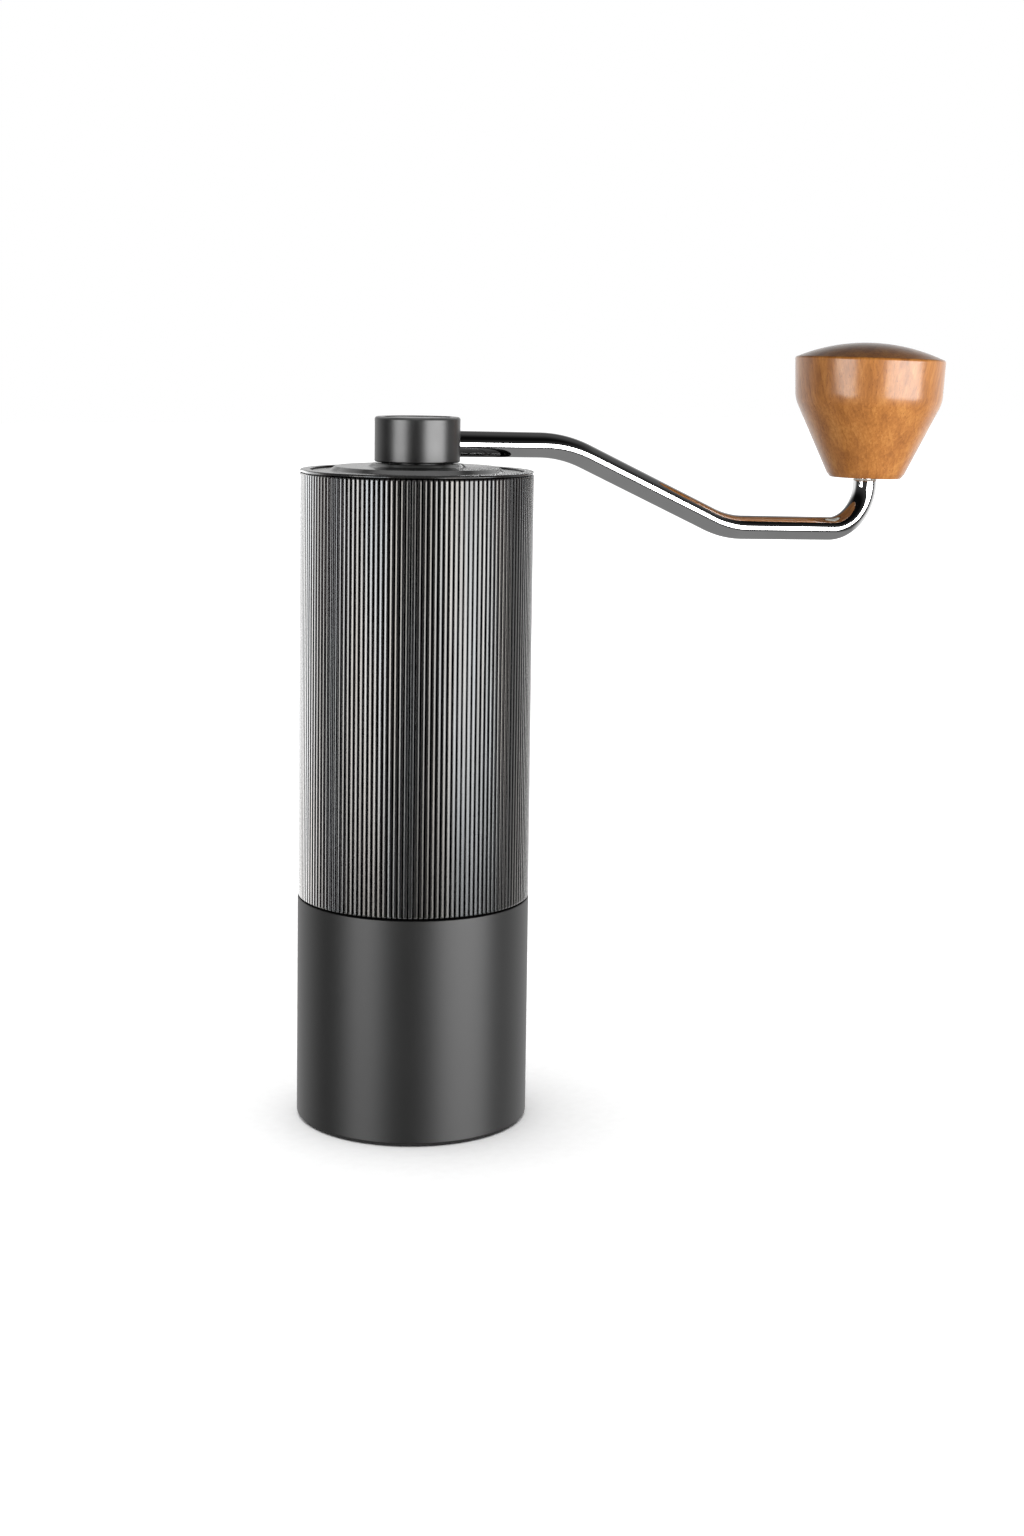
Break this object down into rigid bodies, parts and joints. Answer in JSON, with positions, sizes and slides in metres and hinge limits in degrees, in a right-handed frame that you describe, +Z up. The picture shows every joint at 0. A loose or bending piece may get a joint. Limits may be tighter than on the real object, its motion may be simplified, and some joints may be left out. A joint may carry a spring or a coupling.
{
  "type": "hand crank coffee grinder",
  "caption": "Slim cylindrical hand coffee grinder: ribbed housing, smooth screw-on grounds cup, conical burrs, and a bent rod crank on the lid with a turned wooden knob.",
  "frame": {"origin": "centre of the base pad's underside, on the surface that the grinder stands on", "axes": "+Z up along the body, +X from the body towards the crank knob at rest"},
  "size_m": [0.1787, 0.052, 0.1755],
  "materials": {
    "ribbed_black_aluminium": "black anodised, satin, vertical ribs",
    "black_aluminium": "bead blasted and black anodised",
    "polished_steel": "polished",
    "machined_steel": "machined",
    "burr_steel": "ground tool steel",
    "spring_steel": "hardened spring steel",
    "brass": "machined",
    "rubber": "matte black",
    "nylon": "natural",
    "black_nylon": "matte",
    "lacquered_wood": "clear lacquer"
  },
  "bodies": {
    "housing": {"housing_tube": "ribbed_black_aluminium", "burr_carrier": "machined_steel", "hopper_sleeve": "machined_steel", "upper_bracket": "machined_steel", "bracket_snap_ring": "spring_steel", "lower_bearing_outer_ring": "machined_steel", "upper_bearing_outer_ring": "machined_steel", "outer_burr": "burr_steel", "burr_screw_1": "machined_steel", "burr_screw_2": "machined_steel", "burr_screw_3": "machined_steel"},
    "seal": {"cup_seal": "rubber"},
    "cup": {"grounds_cup": "black_aluminium", "base_pad": "rubber"},
    "lid": {"lid_plate": "black_aluminium", "lid_seal": "rubber", "lid_bush": "black_nylon"},
    "crank": {"crank_hub": "black_aluminium", "hub_cap": "black_aluminium", "crank_arm": "polished_steel", "arm_lock_screw": "machined_steel", "hub_retaining_ring": "spring_steel", "knob_washer": "nylon", "knob_circlip": "spring_steel"},
    "knob": {"wood_knob": "lacquered_wood", "knob_bush": "brass"},
    "shaft": {"drive_shaft": "machined_steel", "lower_bearing_inner_ring": "machined_steel", "upper_bearing_inner_ring": "machined_steel", "shaft_circlip_lower": "spring_steel", "shaft_circlip_upper": "spring_steel", "dial_stop_clip": "spring_steel", "burr_spring": "spring_steel"},
    "lower_balls": {"lower_bearing_balls": "polished_steel"},
    "upper_balls": {"upper_bearing_balls": "polished_steel"},
    "burr": {"inner_burr": "burr_steel", "click_plate": "machined_steel"},
    "dial": {"adjusting_dial": "black_aluminium", "dial_insert": "brass", "detent_ball_1": "polished_steel", "detent_ball_2": "polished_steel", "detent_spring_1": "spring_steel", "detent_spring_2": "spring_steel"}
  },
  "joints": [
    {"name": "lid_lift", "type": "slide", "parent": "housing", "child": "lid", "axis": [0, 0, 1], "range_m": [0, 0.04]},
    {"name": "crank_turn", "type": "hinge", "parent": "lid", "child": "crank", "pos_m": [0, 0, 0.15], "axis": [0, 0, 1], "continuous": true},
    {"name": "knob_spin", "type": "hinge", "parent": "crank", "child": "knob", "pos_m": [0.1332, 0, 0.1412], "axis": [0.0227, 0, 0.9997], "continuous": true},
    {"name": "shaft_spin", "type": "hinge", "parent": "housing", "child": "shaft", "pos_m": [0, 0, 0.1], "axis": [0, 0, 1], "continuous": true},
    {"name": "upper_cage_spin", "type": "hinge", "parent": "housing", "child": "upper_balls", "pos_m": [0, 0, 0.1282], "axis": [0, 0, 1], "continuous": true},
    {"name": "lower_cage_spin", "type": "hinge", "parent": "housing", "child": "lower_balls", "pos_m": [0, 0, 0.0688], "axis": [0, 0, 1], "continuous": true},
    {"name": "burr_adjust", "type": "slide", "parent": "shaft", "child": "burr", "axis": [0, 0, 1], "range_m": [-0.0015, 0.0015], "deforming": ["burr_spring"]},
    {"name": "dial_turn", "type": "hinge", "parent": "burr", "child": "dial", "pos_m": [0, 0, 0.037], "axis": [0, 0, 1], "range_deg": [-560, 560]},
    {"name": "cup_unscrew", "type": "hinge", "parent": "housing", "child": "seal", "pos_m": [0, 0, 0.049], "axis": [0, 0, -1], "range_deg": [0, 720]},
    {"name": "cup_draw", "type": "slide", "parent": "seal", "child": "cup", "axis": [0, 0, -1], "range_m": [0, 0.05]}
  ],
  "couplings": [
    {"joint": "shaft_spin", "follows": "crank_turn", "ratio": 1},
    {"joint": "upper_cage_spin", "follows": "crank_turn", "ratio": 0.4265},
    {"joint": "lower_cage_spin", "follows": "crank_turn", "ratio": 0.4265},
    {"joint": "dial_turn", "follows": "burr_adjust", "rad_per_m": 6283.2}
  ]
}
